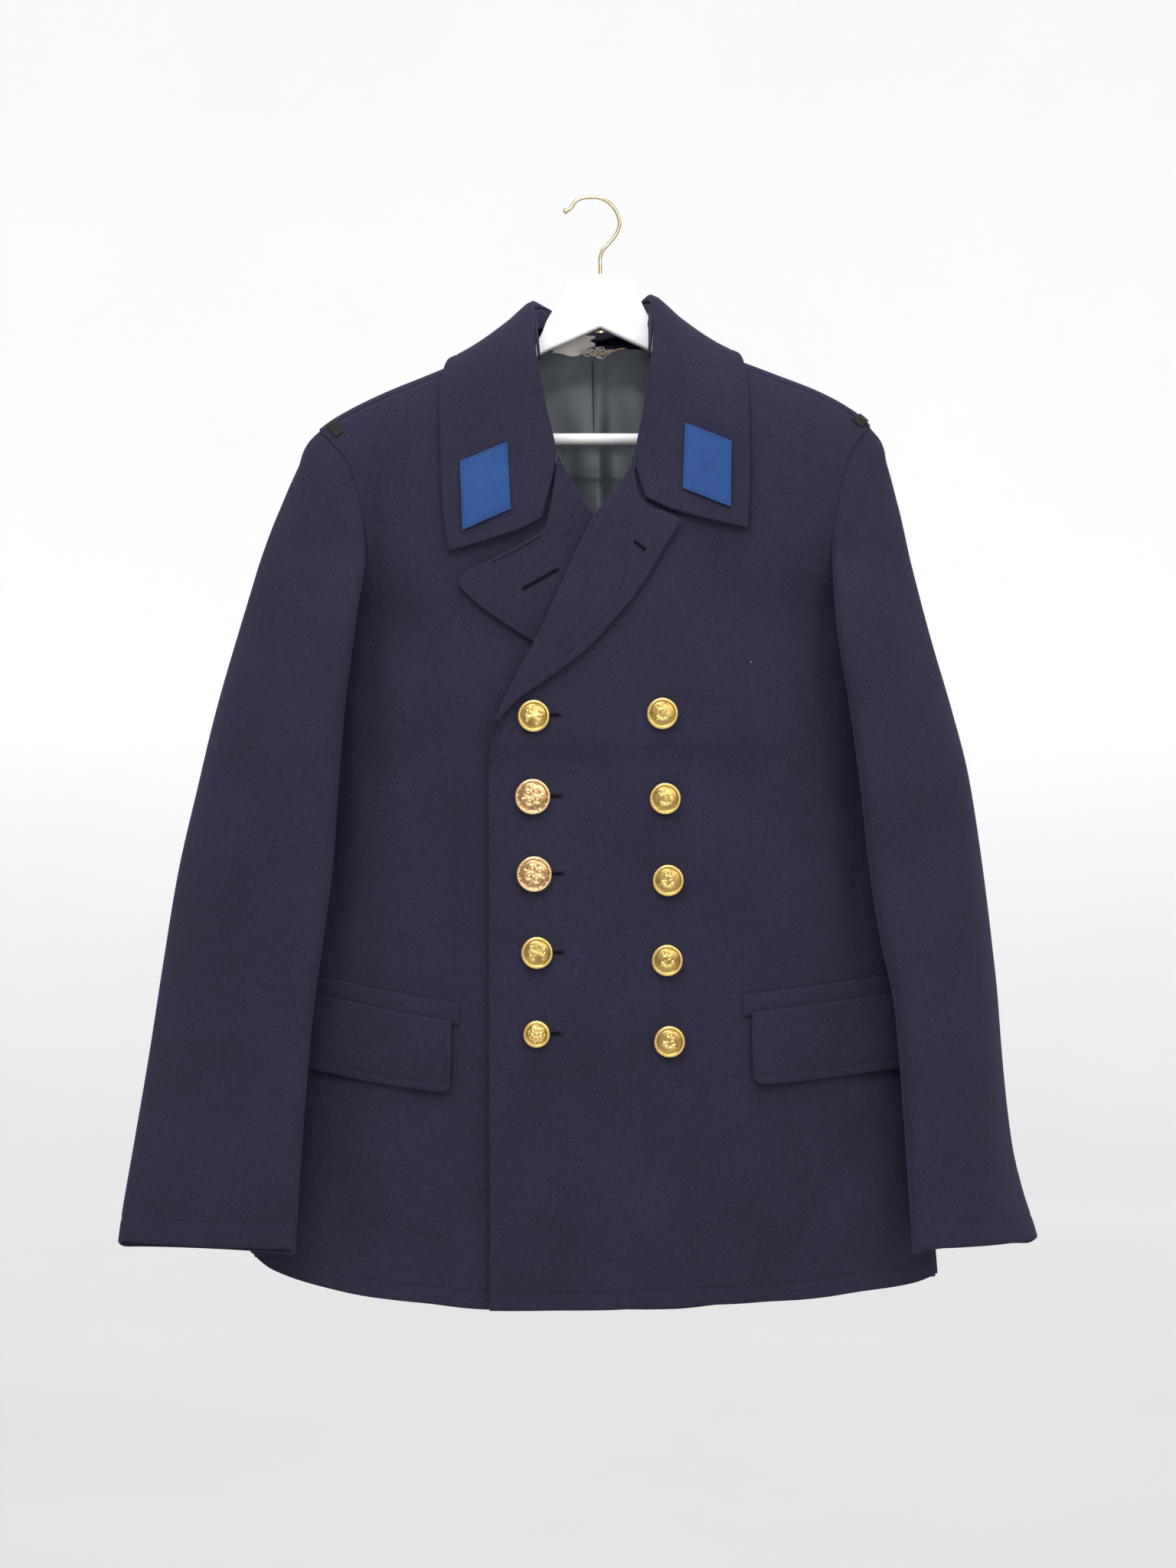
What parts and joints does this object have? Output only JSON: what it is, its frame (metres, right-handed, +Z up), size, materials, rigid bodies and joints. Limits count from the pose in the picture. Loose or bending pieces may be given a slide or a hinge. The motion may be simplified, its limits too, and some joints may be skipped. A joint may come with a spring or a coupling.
{
  "type": "double-breasted uniform jacket on a hanger",
  "caption": "Navy wool double-breasted uniform jacket with gilt buttons and blue collar patches, hung on a white wooden hanger with a swivelling brass hook.",
  "frame": {"origin": "where the hook rests on a rail: the underside of the top of its bend, in the wire's middle plane", "axes": "+Z up, +X to the wearer's left along the shoulders, +Y from the front of the jacket to its back"},
  "size_m": [0.7286, 0.1249, 0.886],
  "materials": {
    "navy_wool": "dense brushed wool melton",
    "blue_felt": "wool felt",
    "green_satin": "satin lining",
    "canvas": "plain woven cotton",
    "black_ribbon": "corded ribbon",
    "label_cloth": "woven label",
    "gilt_brass": "gilt, polished",
    "hook_brass": "brass-plated wire, polished",
    "white_paint": "white paint on wood"
  },
  "bodies": {
    "hook": {"hook_wire": "hook_brass", "hook_ball": "hook_brass", "hook_head": "hook_brass"},
    "jacket": {"back_left": "navy_wool", "back_lining": "green_satin", "back_right": "navy_wool", "collar_patch_left": "blue_felt", "collar_patch_right": "blue_felt", "collar_stand": "navy_wool", "facing_left": "navy_wool", "facing_right": "navy_wool", "front_left": "navy_wool", "front_lining_left": "green_satin", "front_lining_right": "green_satin", "front_right": "navy_wool", "hanger_body": "white_paint", "lapel_left": "navy_wool", "lapel_right": "navy_wool", "neck_label": "label_cloth", "pocket_bag_left": "canvas", "pocket_bag_right": "canvas", "pocket_welt_left": "navy_wool", "pocket_welt_right": "navy_wool", "shoulder_loop_left": "black_ribbon", "shoulder_loop_right": "black_ribbon", "shoulder_pad_left": "canvas", "shoulder_pad_right": "canvas", "sleeve_cap_left": "navy_wool", "sleeve_cap_right": "navy_wool", "top_collar": "navy_wool", "trouser_bar": "white_paint"},
    "flap_left": {"pocket_flap_left": "navy_wool"},
    "sleeve_left": {"top_sleeve_left": "navy_wool", "under_sleeve_left": "navy_wool", "sleeve_lining_left": "green_satin"},
    "flap_right": {"pocket_flap_right": "navy_wool"},
    "sleeve_right": {"top_sleeve_right": "navy_wool", "under_sleeve_right": "navy_wool", "sleeve_lining_right": "green_satin"},
    "button_inner_1_turns": {"button_inner_1": "gilt_brass", "button_inner_1_shank": "gilt_brass"},
    "button_inner_2_turns": {"button_inner_2": "gilt_brass", "button_inner_2_shank": "gilt_brass"},
    "button_inner_3_turns": {"button_inner_3": "gilt_brass", "button_inner_3_shank": "gilt_brass"},
    "button_inner_4_turns": {"button_inner_4": "gilt_brass", "button_inner_4_shank": "gilt_brass"},
    "button_inner_5_turns": {"button_inner_5": "gilt_brass", "button_inner_5_shank": "gilt_brass"},
    "button_outer_1_turns": {"button_outer_1": "gilt_brass", "button_outer_1_shank": "gilt_brass"},
    "button_outer_2_turns": {"button_outer_2": "gilt_brass", "button_outer_2_shank": "gilt_brass"},
    "button_outer_3_turns": {"button_outer_3": "gilt_brass", "button_outer_3_shank": "gilt_brass"},
    "button_outer_4_turns": {"button_outer_4": "gilt_brass", "button_outer_4_shank": "gilt_brass"},
    "button_outer_5_turns": {"button_outer_5": "gilt_brass", "button_outer_5_shank": "gilt_brass"}
  },
  "joints": [
    {"name": "hook_swivel", "type": "hinge", "parent": "hook", "child": "jacket", "pos_m": [0.0048, 0, -0.08], "axis": [0, 0, 1], "continuous": true},
    {"name": "flap_left_lift", "type": "hinge", "parent": "jacket", "child": "flap_left", "pos_m": [0.12361, -0.05545, -0.64178], "axis": [-0.9306, -0.3512, -0.1035], "range_deg": [0, 70], "stiffness_Nm_per_rad": 0.01, "springref_deg": -14.32},
    {"name": "sleeve_left_swing", "type": "hinge", "parent": "jacket", "child": "sleeve_left", "pos_m": [0.26626, 0, -0.345], "axis": [0, -1, 0], "range_deg": [0, 35], "stiffness_Nm_per_rad": 0.4, "springref_deg": -11.46},
    {"name": "flap_right_lift", "type": "hinge", "parent": "jacket", "child": "flap_right", "pos_m": [-0.11364, -0.05252, -0.64775], "axis": [-0.9529, 0.2643, 0.1491], "range_deg": [0, 70], "stiffness_Nm_per_rad": 0.01, "springref_deg": -14.32},
    {"name": "sleeve_right_swing", "type": "hinge", "parent": "jacket", "child": "sleeve_right", "pos_m": [-0.28313, 0, -0.345], "axis": [0, 1, 0], "range_deg": [0, 35], "stiffness_Nm_per_rad": 0.4, "springref_deg": -11.46},
    {"name": "button_inner_1_turn", "type": "hinge", "parent": "jacket", "child": "button_inner_1_turns", "pos_m": [-0.0468, -0.07078, -0.4104], "axis": [0, -1, 0], "range_deg": [-20, 20], "stiffness_Nm_per_rad": 0.002},
    {"name": "button_inner_2_turn", "type": "hinge", "parent": "jacket", "child": "button_inner_2_turns", "pos_m": [-0.0476, -0.06612, -0.4728], "axis": [0, -1, 0], "range_deg": [-20, 20], "stiffness_Nm_per_rad": 0.002},
    {"name": "button_inner_3_turn", "type": "hinge", "parent": "jacket", "child": "button_inner_3_turns", "pos_m": [-0.0464, -0.06444, -0.5327], "axis": [0, -1, 0], "range_deg": [-20, 20], "stiffness_Nm_per_rad": 0.002},
    {"name": "button_inner_4_turn", "type": "hinge", "parent": "jacket", "child": "button_inner_4_turns", "pos_m": [-0.0443, -0.06266, -0.5938], "axis": [0, -1, 0], "range_deg": [-20, 20], "stiffness_Nm_per_rad": 0.002},
    {"name": "button_inner_5_turn", "type": "hinge", "parent": "jacket", "child": "button_inner_5_turns", "pos_m": [-0.0446, -0.06112, -0.6569], "axis": [0, -1, 0], "range_deg": [-20, 20], "stiffness_Nm_per_rad": 0.002},
    {"name": "button_outer_1_turn", "type": "hinge", "parent": "jacket", "child": "button_outer_1_turns", "pos_m": [0.0527, -0.07017, -0.4085], "axis": [0, -1, 0], "range_deg": [-20, 20], "stiffness_Nm_per_rad": 0.002},
    {"name": "button_outer_2_turn", "type": "hinge", "parent": "jacket", "child": "button_outer_2_turns", "pos_m": [0.055, -0.06537, -0.4743], "axis": [0, -1, 0], "range_deg": [-20, 20], "stiffness_Nm_per_rad": 0.002},
    {"name": "button_outer_3_turn", "type": "hinge", "parent": "jacket", "child": "button_outer_3_turns", "pos_m": [0.0573, -0.0633, -0.5377], "axis": [0, -1, 0], "range_deg": [-20, 20], "stiffness_Nm_per_rad": 0.002},
    {"name": "button_outer_4_turn", "type": "hinge", "parent": "jacket", "child": "button_outer_4_turns", "pos_m": [0.0566, -0.06156, -0.5997], "axis": [0, -1, 0], "range_deg": [-20, 20], "stiffness_Nm_per_rad": 0.002},
    {"name": "button_outer_5_turn", "type": "hinge", "parent": "jacket", "child": "button_outer_5_turns", "pos_m": [0.0584, -0.05999, -0.6628], "axis": [0, -1, 0], "range_deg": [-20, 20], "stiffness_Nm_per_rad": 0.002}
  ]
}
